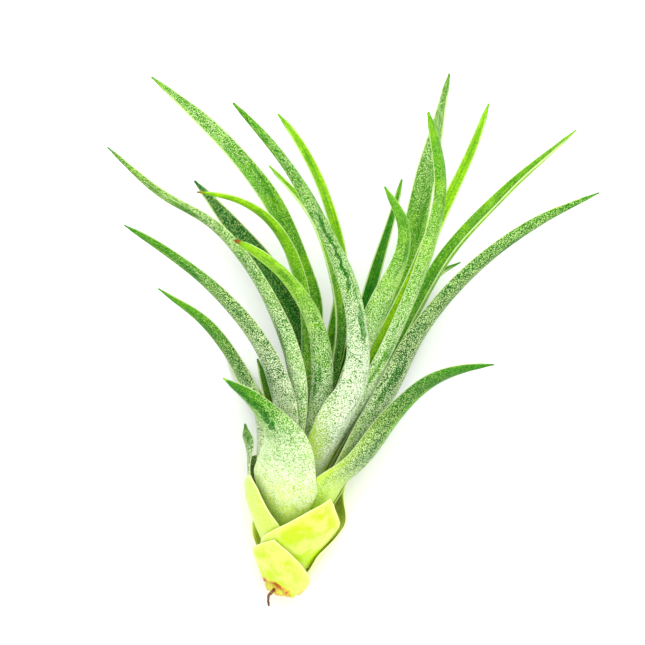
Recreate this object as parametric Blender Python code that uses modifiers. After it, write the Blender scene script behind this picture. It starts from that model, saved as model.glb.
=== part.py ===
"""An air plant (Tillandsia) lying on its side, as picked.

A bulb of clasping leaf bases round a short stem, long channelled leaves that arch away from it,
short yellow bracts round its foot, and one dry root. Run it with Blender 4.5:

    blender --background --python part.py

The plant is seen from above. X runs to the right, Y from the root to the leaf tips, and Z up from
the surface that the plant lies on. Lengths are millimetres until they reach a mesh. A turn is an
angle round the plant's axis in degrees: 0 faces up, 90 is on the right, 180 faces the surface.
"""

import math
from typing import NamedTuple

import bpy
import numpy as np
from mathutils import Matrix, Vector

MM = 0.001

# The plant's axis, from the foot of the bulb up through the stem
AXIS_LEAN = math.radians(8.0)       # in plan, from +Y towards +X
AXIS_RISE = math.radians(18.0)      # the leaves behind prop the tip end up
AXIS_FOOT = np.array([-0.5, 1.8, 5.1])

# The stem. Heights are measured along the axis.
STEM_FOOT = 0.4
STEM_TOP = 28.0
STEM_FOOT_RADIUS = 5.0
STEM_TOP_RADIUS = 1.2
STEM_RINGS = (27.2, 20.0, 12.0, 5.0, STEM_FOOT)
STEM_SIDES = 20
STEM_DOME = 0.5                     # rise of the growing point above the top
STUB = 1.3                          # bare stem below the lowest bract
STUB_RADIUS = 2.8
STUB_SHOULDER = 0.4                 # share of the stub where it starts to round off
STUB_DISH = 0.2                     # share of the stub by which its end bulges

# The nest of leaf bases on it
SEAT = 0.65                         # stem surface to the middle of a leaf base seated on it
BULB_HEIGHT = 27.0                  # where the innermost leaf is seated
BULB_SWELL = 0.8                    # under 1, so that the side of the bulb is convex
LEAF_PITCH = 1.16                   # middle of one leaf base to the middle of the next
LEAF_LAYERS = 9.5                   # layers further out are bracts
BRACT_PITCH = 0.94                  # the same among the bracts
NEST_MARGIN = 4.0                   # bases closer than this, in degrees, don't pass each other
MOUTH = 30.0                        # height where a leaf base ends and its blade begins
FAN = 0.9                           # how fast the bases spread above the bulb
BASE_STEPS = 12

# Leaf tissue
BASE_THICK = 0.64
RIB_THICK = 1.1
EDGE_THICK = 0.64
RIB_NEEDS = 3.0                     # a blade narrower than this has a thinner rib
BLADE_FORMS = 28.0                  # length over which a base narrows into a channelled blade
ROW_LENGTH = 4.6                    # length of one row of faces
COLUMNS = 4
ROUTE_STEPS = 16
TIP = 0.9                           # width of a leaf's tip

# The bracts
BRACT_ROWS = 10
BRACT_COLUMNS = 14
ROWS_CROWD = 0.35                   # rows lie closer together towards the apex
TUCK_FROM = 0.6                     # share of its wrap at which a bract starts to lean in
TUCK_TO = 0.15
LOBE_TURN = 38                      # side on which the lowest bract's foot hangs down
LOBE_HALF = 50
LOBE_LIFT = 0.2                    # share of the lobe by which the rest of the foot is lifted

# The root, which leaves the side of the stub
ROOT_RADIUS = 0.42
ROOT_TURN = -30
ROOT_HEIGHT = 0.7
ROOT_GAP = 0.3
ROOT_OUT = 0.9                      # how far it leaves straight out before it bends
ROOT_DROOP = 0.7
ROOT_BEND = (-4.5, -0.2, 8.0)
ROOT_END = (-4.4, -2.7, 5.2)

ROUGHNESS = {"leaf": 0.6, "bract": 0.5, "wood": 0.85}
COLOURS = {
    "silver": (0.36, 0.50, 0.27, 1.0),
    "green": (0.25, 0.48, 0.12, 1.0),
    "dark": (0.15, 0.30, 0.11, 1.0),
    "bright": (0.45, 0.70, 0.08, 1.0),
    "yellow": (0.80, 0.90, 0.10, 1.0),
    "pale": (0.72, 0.82, 0.35, 1.0),
    "brown": (0.35, 0.18, 0.08, 1.0),
}


class Leaf(NamedTuple):
    name: str
    turn: float          # of the middle of its base
    wrap: float          # half of the angle that its base clasps
    channel: float       # angle that the blade's section bends through
    colour: str
    route: list          # stops of the blade: x, y, z and the leaf's width
    twist: float = 0.0   # turn of the blade about its own line, above the base


class Bract(NamedTuple):
    name: str
    turn: float
    wrap: float
    shoulder: float      # height where it starts to narrow
    apex: float          # height of its apex
    apex_turn: float
    tuck: float          # layers by which its apex lies closer in
    colour: str
    lobe: float = 0.0    # how far the foot hangs down on one side


# From the heart of the rosette outwards
LEAVES = [
    Leaf("leaf_01", 178, 21, 90, "dark", [
        (17.2, 64.2, 19, 4.0), (22.2, 80.8, 21, 3.2), (26.4, 94.8, 22, 2.2), (29.0, 104.5, 22, TIP)]),
    Leaf("leaf_02", -128, 22, 100, "green", [
        (13.2, 61.8, 25, 4.6), (12.3, 79.3, 31, 4.2), (6.9, 94.8, 35, 3.4), (-4.2, 107.8, 38, TIP)]),
    Leaf("leaf_03", 28, 20, 100, "silver", [
        (17.8, 59.2, 29, 6.4), (23.6, 73.4, 37, 7.0), (29.0, 85.5, 46, 4.8), (29.2, 93.0, 52, 3.2),
        (24.5, 102.2, 60, TIP)]),
    Leaf("leaf_04", -165, 22, 90, "bright", [
        (10.5, 58.0, 16, 4.2), (13.9, 83.9, 21, 3.4), (9.8, 100.3, 24, 2.9), (3.3, 113.9, 26, 2.4),
        (-2.0, 120.8, 26, TIP)]),
    Leaf("leaf_05", -70, 26, 120, "bright", [
        (5.2, 64.2, 26.5, 4.8), (2.7, 82.0, 34, 4.9), (-4.1, 94.2, 41, 4.6), (-12.8, 99.6, 45, 3.4),
        (-22.0, 101.1, 47, 1.3)], 25),
    Leaf("leaf_06", 135, 23, 80, "bright", [
        (29.4, 74.2, 16, 4.2), (39.0, 96.0, 19, 3.4), (46.3, 111.2, 20, 2.8), (50.8, 123.5, 20, TIP)], 35),
    Leaf("leaf_07", -5, 30, 110, "silver", [
        (9.0, 53.0, 28.5, 6.6), (7.2, 68.0, 37, 5.2), (1.8, 77.8, 46, 4.2), (-6.5, 85.5, 56, 3.4),
        (-12.5, 89.0, 62, 1.9)]),
    Leaf("leaf_08", 165, 28, 90, "green", [
        (25.2, 71.8, 12.5, 6.4), (31.5, 89.2, 13, 6.6), (35.7, 108.0, 13, 5.6),
        (38.4, 119.5, 12.5, 3.4), (41.0, 131.2, 12, TIP)]),
    Leaf("leaf_09", -112, 28, 90, "green", [
        (6.8, 71.0, 21, 6.0), (3.7, 81.7, 23.5, 6.2), (-4.0, 99.7, 27, 5.8), (-19.6, 118.0, 29, 4.2),
        (-33.6, 130.0, 30, TIP)], -35),
    Leaf("leaf_10", 62, 34, 100, "silver", [
        (20.3, 51.8, 24.5, 7.4), (28.7, 69.2, 32, 6.6), (35.3, 86.2, 41, 6.2), (38.6, 101.8, 50, 5.0),
        (37.0, 113.8, 58, 3.2), (35.2, 120.5, 63, 1.7)], -8),
    Leaf("leaf_11", 108, 24, 120, "bright", [
        (30.2, 67.5, 21.5, 6.2), (39.8, 84.8, 24.5, 6.6), (55.0, 101.5, 28, 4.8), (72.5, 116.8, 31, TIP)], 6),
    Leaf("leaf_12", -42, 30, 100, "silver", [
        (2.6, 54.2, 30, 7.2), (-4.0, 74.0, 36, 5.8), (-16.5, 91.6, 44, 4.9), (-31.8, 101.2, 51, 4.0),
        (-44.0, 112.0, 58, TIP)]),
    Leaf("leaf_13", -135, 28, 100, "dark", [
        (5.2, 64.2, 12, 6.6), (-2.5, 79.2, 14, 6.2), (-12.5, 91.8, 15, 5.2), (-23.0, 104.2, 15.5, TIP)], -30),
    Leaf("leaf_14", 128, 24, 90, "green", [
        (31.0, 72.8, 10, 2.8), (38.5, 81.0, 10.5, 2.2), (43.8, 83.8, 11, TIP)]),
    Leaf("leaf_15", 25, 40, 115, "silver", [
        (13.5, 46.3, 29, 11.0), (16.8, 52.3, 31.5, 9.2), (18.3, 63.0, 37, 7.0), (15.8, 77.5, 46, 5.2),
        (8.0, 94.8, 59, 3.9), (-1.5, 110.0, 71, 2.8), (-12.8, 122.5, 81, 1.1)]),
    Leaf("leaf_16", 180, 30, 90, "green", [
        (14.0, 50.0, 6.2, 5.4), (18.0, 62.0, 6, 4.6), (16.5, 76.0, 6, TIP)]),
    Leaf("leaf_17", 82, 36, 95, "silver", [
        (24.2, 48.8, 22, 9.0), (33.0, 65.7, 26.3, 7.2), (46.3, 81.5, 31.4, 6.0), (63.4, 94.1, 36, 4.5),
        (78.0, 101.0, 39, TIP)], -40),
    Leaf("leaf_18", -148, 24, 90, "dark", [
        (-3.0, 45.5, 10, 4.4), (-5.0, 53.0, 11, 3.6), (-7.2, 59.5, 12, TIP)]),
    Leaf("leaf_19", -55, 36, 100, "silver", [
        (-1.0, 49.2, 28, 9.6), (-7.0, 64.0, 33, 7.4), (-19.3, 78.2, 40, 5.7), (-32.9, 88.5, 47, 3.7),
        (-40.0, 92.8, 51, TIP)], 15),
    Leaf("leaf_20", 145, 32, 90, "green", [
        (19.0, 50.0, 5, 5.4), (26.0, 66.0, 3.5, 4.4), (33.0, 82.0, 4, TIP)]),
    Leaf("leaf_21", -95, 34, 95, "silver", [
        (-7.2, 46.8, 19, 8.0), (-12.3, 57.9, 21, 7.0), (-20.4, 68.8, 23, 5.6), (-32.0, 77.2, 24, TIP)], 40),
    Leaf("leaf_22", 66, 56, 100, "silver", [
        (19.0, 33.0, 22, 13.2), (26.3, 44.7, 26.5, 7.2), (36.0, 53.8, 32, 5.8), (44.8, 57.3, 37, 3.6),
        (51.8, 58.2, 41, TIP)], -36),
    Leaf("leaf_23", -160, 34, 90, "green", [
        (-5.2, 46.0, 4, 5.0), (-11.5, 55.5, 1.0, 3.6), (-15.5, 61.5, 1.0, TIP)]),
    Leaf("leaf_24", 124, 28, 90, "green", [
        (21.5, 44.0, 7, 5.4), (28.5, 57.0, 3, 4.8), (34.0, 67.0, 1.4, 3.4), (40.0, 76.0, 1.6, TIP)]),
    Leaf("leaf_25", -26, 50, 120, "silver", [
        (-0.8, 38.0, 29.5, 15.2), (-5.6, 46.6, 34.5, 8.6), (-10.5, 51.3, 38.5, 5.2),
        (-15.5, 54.8, 43, TIP)]),
    Leaf("leaf_26", -100, 26, 70, "pale", [
        (-9.5, 33.0, 14, 6.2), (-9.6, 38.0, 15, 5.6), (-10.3, 43.2, 16, TIP)], 210),
]
BRACTS = [
    Bract("bract_1", 172, 84, 12.0, 27.0, 175, 1.0, "pale"),
    Bract("bract_2", -88, 85, 16.0, 31.0, -58, 1.2, "pale"),
    Bract("bract_3", 22, 86, 12.0, 28.7, 38, 2.5, "yellow"),
    Bract("bract_4", 165, 112, 12.0, 29.0, 118, 4.0, "yellow"),
    Bract("bract_5", -32, 104, 3.6, 15.9, -22, 1.0, "yellow", 3.0),
]
LOW_ORGANS = ("bract_4", "leaf_23", "leaf_24")      # the plant rests on these


def unit(vector):
    return vector / np.linalg.norm(vector)


ALONG = np.array([
    math.sin(AXIS_LEAN) * math.cos(AXIS_RISE),
    math.cos(AXIS_LEAN) * math.cos(AXIS_RISE),
    math.sin(AXIS_RISE),
])
RIGHT = np.array([math.cos(AXIS_LEAN), -math.sin(AXIS_LEAN), 0.0])
FRONT = np.cross(RIGHT, ALONG)


def outward(turn):
    """The direction away from the axis at this turn, in radians."""
    return math.cos(turn) * FRONT + math.sin(turn) * RIGHT


def smoothstep(low, high, value):
    share = np.clip((value - low) / (high - low), 0.0, 1.0)
    return share * share * (3 - 2 * share)


def stem_radius(height):
    share = np.clip((height - STEM_FOOT) / (STEM_TOP - STEM_FOOT), 0.0, 1.0)
    return STEM_FOOT_RADIUS + (STEM_TOP_RADIUS - STEM_FOOT_RADIUS) * share


def seat_height(layer, layers):
    """Inner leaves are seated higher on the stem, as on any rosette."""
    return STEM_FOOT + (BULB_HEIGHT - STEM_FOOT) * (1.0 - layer / layers)


def stacked(layer):
    """Thickness of all the leaf bases up to this layer, with the air between them."""
    return LEAF_PITCH * min(layer, LEAF_LAYERS) + BRACT_PITCH * max(0.0, layer - LEAF_LAYERS)


def base_radius(layer, layers, height):
    """Middle of a leaf base: on the stem at its seat, and outside every inner base above it."""
    share = np.clip((height - STEM_FOOT) / (BULB_HEIGHT - STEM_FOOT), 1e-3, 1.0)
    inner = stacked(layer) - stacked(layers * (1.0 - share))
    fan = 1.0 + FAN * max(0.0, height - BULB_HEIGHT) / BULB_HEIGHT
    return stem_radius(height) + SEAT + share ** (BULB_SWELL - 1.0) * fan * inner


def nest(organs):
    """The layer of each base: one outside every inner base that it covers."""
    layers = []
    for i, organ in enumerate(organs):
        layer = 0.0
        for inner, inner_layer in zip(organs[:i], layers):
            apart = abs((organ.turn - inner.turn + 180) % 360 - 180)
            if apart < organ.wrap + inner.wrap + NEST_MARGIN:
                layer = max(layer, inner_layer + 1.0)
        layers.append(layer)
    return layers


def smooth_path(points, steps):
    """A curve through the points (Catmull-Rom with centripetal spacing)."""
    points = np.array(points, float)
    ends = [2 * points[0] - points[1], *points, 2 * points[-1] - points[-2]]
    path = []
    for a, b, c, d in zip(ends, ends[1:], ends[2:], ends[3:]):
        ta = 0.0
        tb = ta + np.linalg.norm((b - a)[:3]) ** 0.5
        tc = tb + np.linalg.norm((c - b)[:3]) ** 0.5
        td = tc + np.linalg.norm((d - c)[:3]) ** 0.5
        for t in np.linspace(tb, tc, steps, endpoint=False):
            ab = (tb - t) / (tb - ta) * a + (t - ta) / (tb - ta) * b
            bc = (tc - t) / (tc - tb) * b + (t - tb) / (tc - tb) * c
            cd = (td - t) / (td - tc) * c + (t - tc) / (td - tc) * d
            abc = (tc - t) / (tc - ta) * ab + (t - ta) / (tc - ta) * bc
            bcd = (td - t) / (td - tb) * bc + (t - tb) / (td - tb) * cd
            path.append((tc - t) / (tc - tb) * abc + (t - tb) / (tc - tb) * bcd)
    path.append(points[-1])
    return np.array(path)


def distances(path):
    steps = np.linalg.norm(np.diff(path[:, :3], axis=0), axis=1)
    return np.concatenate([[0.0], np.cumsum(steps)])


def leaf_points(leaf, layer, layers):
    """Rows of points on the middle surface of a leaf, and the thickness at each point.

    The base is an arc round the axis. Above the mouth it narrows and bends into the blade's
    channel, which opens towards the axis and is carried along the route without twisting.
    """
    turn = math.radians(leaf.turn)
    clasp = 2 * math.radians(leaf.wrap)
    channel = math.radians(leaf.channel)
    base = []
    for height in np.linspace(seat_height(layer, layers), MOUTH, BASE_STEPS):
        radius = base_radius(layer, layers, height)
        centre = AXIS_FOOT + height * ALONG + radius * outward(turn)
        base.append([*centre, clasp * radius])
    path = np.vstack([np.array(base[:-1]), smooth_path([base[-1], *leaf.route], ROUTE_STEPS)])
    along = distances(path)
    mouth = distances(np.array(base))[-1]
    rows = round(along[-1] / ROW_LENGTH)
    stops = np.linspace(0.0, along[-1], rows + 1)
    centres = np.stack([np.interp(stops, along, path[:, axis]) for axis in range(3)], axis=1)
    widths = np.interp(stops, along, path[:, 3])
    tangents = np.gradient(centres, stops, axis=0)

    points = []
    thickness = []
    inward = -outward(turn)
    for stop, centre, tangent, width in zip(stops, centres, tangents, widths):
        tangent = unit(tangent)
        inward = unit(inward - np.dot(inward, tangent) * tangent)
        formed = smoothstep(0.0, BLADE_FORMS, stop - mouth)
        twist = math.radians(leaf.twist) * formed
        faced = math.cos(twist) * inward + math.sin(twist) * np.cross(tangent, inward)
        across = np.cross(tangent, faced)
        bend = clasp + (channel - clasp) * formed
        radius = width / bend
        centred = 0.5 * formed * (1 - math.cos(0.5 * bend))
        rib = BASE_THICK + (RIB_THICK - BASE_THICK) * formed
        rib = EDGE_THICK + (rib - EDGE_THICK) * min(1.0, width / RIB_NEEDS)
        for column in range(COLUMNS + 1):
            angle = bend * (column / COLUMNS - 0.5)
            rise = 1 - math.cos(angle) - centred
            points.append(centre + radius * (math.sin(angle) * across + rise * faced))
            margin = abs(2 * column / COLUMNS - 1)
            thickness.append(rib + (EDGE_THICK - rib) * margin**2)
    return rows, COLUMNS, points, thickness


def bract_points(bract, layer, layers):
    """Rows of points of a bract: it follows the bulb, narrows to its apex and leans in there."""
    points = []
    seat = seat_height(layer, layers)
    for step in np.linspace(0.0, 1.0, BRACT_ROWS + 1):
        height = seat + (bract.apex - seat) * ((1 + ROWS_CROWD) * step - ROWS_CROWD * step**2)
        share = min(1.0, max(0.0, (bract.apex - height) / (bract.apex - bract.shoulder)))
        tuck = bract.tuck * smoothstep(TUCK_FROM, TUCK_TO, share)
        half = max(math.radians(bract.wrap) * share, 0.5 * TIP / base_radius(layer - tuck, layers, height))
        middle = math.radians(bract.apex_turn + (bract.turn - bract.apex_turn) * share)
        for column in range(BRACT_COLUMNS + 1):
            angle = middle + half * (2 * column / BRACT_COLUMNS - 1)
            hang = math.exp(-(((angle - math.radians(LOBE_TURN)) / math.radians(LOBE_HALF)) ** 2))
            drop = bract.lobe * (hang - LOBE_LIFT) * (1 - step) ** 2
            radius = base_radius(layer - tuck, layers, height + max(0.0, -drop))
            points.append(AXIS_FOOT + (height - drop) * ALONG + radius * outward(angle))
    return BRACT_ROWS, BRACT_COLUMNS, points, [BASE_THICK] * len(points)


def adopt(obj, colour, tissue, plant):
    """Give an object its own material, and its place in the plant and in its collection."""
    material = bpy.data.materials.new(obj.name)
    material.use_nodes = True
    shader = material.node_tree.nodes["Principled BSDF"]
    shader.inputs["Base Color"].default_value = COLOURS[colour]
    shader.inputs["Roughness"].default_value = ROUGHNESS[tissue]
    shader.inputs["Metallic"].default_value = 0.0
    obj.data.materials.clear()
    obj.data.materials.append(material)
    for owner in list(obj.users_collection):
        owner.objects.unlink(obj)
    plant.users_collection[0].objects.link(obj)
    obj.parent = plant


def make_sheet(name, rows, columns, points, thickness):
    """A thin organ: a grid of faces moved to its points, split into triangles, and thickened."""
    bpy.ops.mesh.primitive_grid_add(x_subdivisions=columns, y_subdivisions=rows, size=1)
    organ = bpy.context.object
    organ.name = name
    organ.data.name = name
    thickest = max(thickness)
    group = organ.vertex_groups.new(name="thickness")
    for vertex, point, value in zip(organ.data.vertices, points, thickness):
        vertex.co = Vector((point[0], point[1], max(point[2], 0.5 * BASE_THICK))) * MM
        group.add([vertex.index], value / thickest, "REPLACE")
    organ.data.shade_smooth()
    split = organ.modifiers.new("Triangles", "TRIANGULATE")
    split.quad_method = "FIXED"
    wall = organ.modifiers.new("Thickness", "SOLIDIFY")
    wall.thickness = thickest * MM
    wall.offset = 0.0
    wall.vertex_group = group.name
    return organ


def press_flat(organ):
    """What would reach below the surface that the plant lies on is pressed flat against it."""
    depsgraph = bpy.context.evaluated_depsgraph_get()
    mesh = bpy.data.meshes.new_from_object(organ.evaluated_get(depsgraph))
    organ.modifiers.clear()
    organ.data = mesh
    for vertex in mesh.vertices:
        vertex.co.z = max(vertex.co.z, 0.0)


def make_stem(collection):
    """A turned solid, whose outline runs from the growing point down to the stub."""
    outline = [(0.0, STEM_TOP + STEM_DOME), (0.6 * STEM_TOP_RADIUS, STEM_TOP + 0.2 * STEM_DOME)]
    outline += [(stem_radius(height), height) for height in STEM_RINGS]
    outline += [(0.9 * STEM_FOOT_RADIUS, -STUB_SHOULDER * STUB), (STUB_RADIUS, -STUB),
                (0.0, -(1 + STUB_DISH) * STUB)]
    mesh = bpy.data.meshes.new("stem")
    edges = [(i, i + 1) for i in range(len(outline) - 1)]
    mesh.from_pydata([(radius * MM, 0.0, height * MM) for radius, height in outline], edges, [])
    stem = bpy.data.objects.new("stem", mesh)
    collection.objects.link(stem)
    turning = stem.modifiers.new("Turn", "SCREW")
    turning.steps = STEM_SIDES
    turning.render_steps = STEM_SIDES
    turning.use_merge_vertices = True
    turning.merge_threshold = 0.00001
    upright = Matrix((RIGHT, np.cross(ALONG, RIGHT), ALONG)).transposed().to_4x4()
    stem.matrix_world = Matrix.Translation(Vector(AXIS_FOOT) * MM) @ upright
    return stem


def make_root(collection):
    """A thin tube that leaves the side of the stub and droops past the foot."""
    aside = outward(math.radians(ROOT_TURN))
    start = AXIS_FOOT + ROOT_HEIGHT * ALONG + (STEM_FOOT_RADIUS + ROOT_GAP) * aside
    clear = start + ROOT_OUT * aside - ROOT_DROOP * ALONG
    route = smooth_path([start, clear, ROOT_BEND, ROOT_END], 4)
    curve = bpy.data.curves.new("dry_root", "CURVE")
    curve.dimensions = "3D"
    curve.bevel_depth = ROOT_RADIUS * MM
    curve.bevel_resolution = 1
    curve.use_fill_caps = True
    spline = curve.splines.new("POLY")
    spline.points.add(len(route) - 1)
    for point, place in zip(spline.points, route):
        point.co = (*(Vector(place) * MM), 1.0)
    root = bpy.data.objects.new("dry_root", curve)
    collection.objects.link(root)
    return root


def centre_over_origin(plant):
    """Move the plant so that the middle of its outline in plan is at the origin."""
    bpy.context.view_layer.update()
    depsgraph = bpy.context.evaluated_depsgraph_get()
    corners = []
    for organ in plant.children:
        shape = organ.evaluated_get(depsgraph)
        corners += [shape.matrix_world @ vertex.co for vertex in shape.to_mesh().vertices]
        shape.to_mesh_clear()
    for axis in range(2):
        reach = [corner[axis] for corner in corners]
        plant.location[axis] = -0.5 * (min(reach) + max(reach))


def main():
    for obj in list(bpy.data.objects):
        bpy.data.objects.remove(obj)
    collection = bpy.data.collections.new("tillandsia")
    bpy.context.scene.collection.children.link(collection)
    plant = bpy.data.objects.new("plant", None)
    collection.objects.link(plant)

    layers = nest([*LEAVES, *BRACTS])
    count = max(layers) + 1
    for leaf, layer in zip(LEAVES, layers):
        organ = make_sheet(leaf.name, *leaf_points(leaf, layer, count))
        adopt(organ, leaf.colour, "leaf", plant)
    for bract, layer in zip(BRACTS, layers[len(LEAVES):]):
        organ = make_sheet(bract.name, *bract_points(bract, layer, count))
        adopt(organ, bract.colour, "bract", plant)
    for name in LOW_ORGANS:
        press_flat(bpy.data.objects[name])
    adopt(make_stem(collection), "brown", "wood", plant)
    adopt(make_root(collection), "brown", "wood", plant)
    centre_over_origin(plant)
    print("layers of leaf bases:", int(count), " shift:", plant.location[:])


main()
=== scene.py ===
# %% [markdown]
# # An air plant, lying as picked, seen from above
#
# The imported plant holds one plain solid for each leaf, bract, stem and root. This lesson lays a
# finer leaf over each of those solids: the same route and the same channel, but with thin margins,
# a groove along the rib, veins, and the silvery scales that give an air plant its frosted look.

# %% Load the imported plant
import math
from typing import NamedTuple

import bpy
import numpy as np
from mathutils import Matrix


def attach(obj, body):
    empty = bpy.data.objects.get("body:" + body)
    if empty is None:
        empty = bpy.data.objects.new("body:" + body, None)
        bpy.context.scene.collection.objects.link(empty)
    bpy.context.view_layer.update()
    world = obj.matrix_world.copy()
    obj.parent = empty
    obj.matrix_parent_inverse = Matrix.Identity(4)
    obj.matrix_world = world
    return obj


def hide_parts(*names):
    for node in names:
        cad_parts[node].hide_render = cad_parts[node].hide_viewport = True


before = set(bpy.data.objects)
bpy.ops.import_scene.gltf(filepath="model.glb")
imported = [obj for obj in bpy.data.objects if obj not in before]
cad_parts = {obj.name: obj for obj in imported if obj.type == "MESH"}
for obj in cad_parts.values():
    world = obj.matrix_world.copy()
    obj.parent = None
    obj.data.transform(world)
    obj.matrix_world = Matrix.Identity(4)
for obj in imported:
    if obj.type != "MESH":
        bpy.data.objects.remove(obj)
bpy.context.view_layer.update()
bpy.ops.object.select_all(action="DESELECT")

# %% [markdown]
# ## Where the plant lies
#
# All its leaves spring from one short stem. The stem's axis rises a little towards the tips,
# because the leaves behind it prop the plant up. Every leaf is described from that axis, by the
# side it grows on and its layer in the bulb, so a few numbers place all of them. They are the
# same as in the solids, and so are the lengths, in millimetres from the foot of the plant. Only
# the last step turns them into metres and moves them to the plant's place on the table.

# %% The plant's axis
MM = 0.001
PLACE = np.array([-16.9175, -64.1532, 0.0])
AXIS_LEAN = math.radians(8.0)
AXIS_RISE = math.radians(18.0)
AXIS_FOOT = np.array([-0.5, 1.8, 5.1])
ALONG = np.array([
    math.sin(AXIS_LEAN) * math.cos(AXIS_RISE),
    math.cos(AXIS_LEAN) * math.cos(AXIS_RISE),
    math.sin(AXIS_RISE),
])
RIGHT = np.array([math.cos(AXIS_LEAN), -math.sin(AXIS_LEAN), 0.0])
FRONT = np.cross(RIGHT, ALONG)


def outward(turn):
    """The direction away from the axis at this turn. 0 faces up, and a quarter turn is right."""
    return math.cos(turn) * FRONT + math.sin(turn) * RIGHT


def unit(vector):
    return vector / np.linalg.norm(vector)


def smoothstep(low, high, value):
    share = np.clip((value - low) / (high - low), 0.0, 1.0)
    return share * share * (3 - 2 * share)


print("axis:", ALONG.round(3))

# %% [markdown]
# ## How the leaf bases nest
#
# Low on the plant each leaf is a sheath that clasps the ones inside it, as the layers of an onion
# do. The inner leaves are seated higher on the stem. A base's distance from the axis is then the
# stem's radius there, plus the thickness of all the bases between it and the stem.

# %% The nest of leaf bases
STEM_FOOT, STEM_TOP = 0.4, 28.0
STEM_FOOT_RADIUS, STEM_TOP_RADIUS = 5.0, 1.2
BULB_HEIGHT = 27.0
MOUTH = 30.0                # where a base ends and its blade begins, along the axis
LAYERS = 15
LEAF_LAYERS = 9.5           # the layers past this one are bracts, which lie closer
LEAF_STEP, BRACT_STEP = 1.16, 0.94
BED = 0.65                  # from the stem's skin to the middle of the first base
BULB_SWELL = 0.2            # how soon the bulb gains its girth above its foot
FAN = 0.9                   # how far the layers spread above the bulb
BASE_THICK = 0.64


def stem_radius(height):
    share = np.clip((height - STEM_FOOT) / (STEM_TOP - STEM_FOOT), 0.0, 1.0)
    return STEM_FOOT_RADIUS + (STEM_TOP_RADIUS - STEM_FOOT_RADIUS) * share


def seat_height(layer):
    return STEM_FOOT + (BULB_HEIGHT - STEM_FOOT) * (1.0 - layer / LAYERS)


def stacked(layer):
    """Thickness of all the bases up to this layer."""
    return LEAF_STEP * min(layer, LEAF_LAYERS) + BRACT_STEP * max(0.0, layer - LEAF_LAYERS)


def base_radius(layer, height):
    share = np.clip((height - STEM_FOOT) / (BULB_HEIGHT - STEM_FOOT), 1e-3, 1.0)
    inner = stacked(layer) - stacked(LAYERS * (1.0 - share))
    fan = 1.0 + FAN * max(0.0, height - BULB_HEIGHT) / BULB_HEIGHT
    return stem_radius(height) + BED + share**-BULB_SWELL * fan * inner


print("radius of the outer layer at mid height:", round(base_radius(12, 15.0), 2), "mm")

# %% [markdown]
# ## The leaves, as a list
#
# A leaf is described by the side it grows on, its layer, half of the angle that its sheath clasps,
# the angle that its blade's channel bends through, and the stops of its route: x, y, z and width.
# Reading the plant this way keeps the work small, because one careful leaf serves for all of them.

# %% Routes of the leaves, heart of the rosette first
TIP = 0.9                   # width at the end of most leaves


class Leaf(NamedTuple):
    turn: float             # side that it grows on, in degrees from the front
    layer: int
    wrap: float             # half of the angle that the sheath clasps
    channel: float          # angle that the blade's channel bends through
    route: list             # stops: x, y, z and width
    twist: float = 0.0      # turn of the blade about its own line


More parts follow.
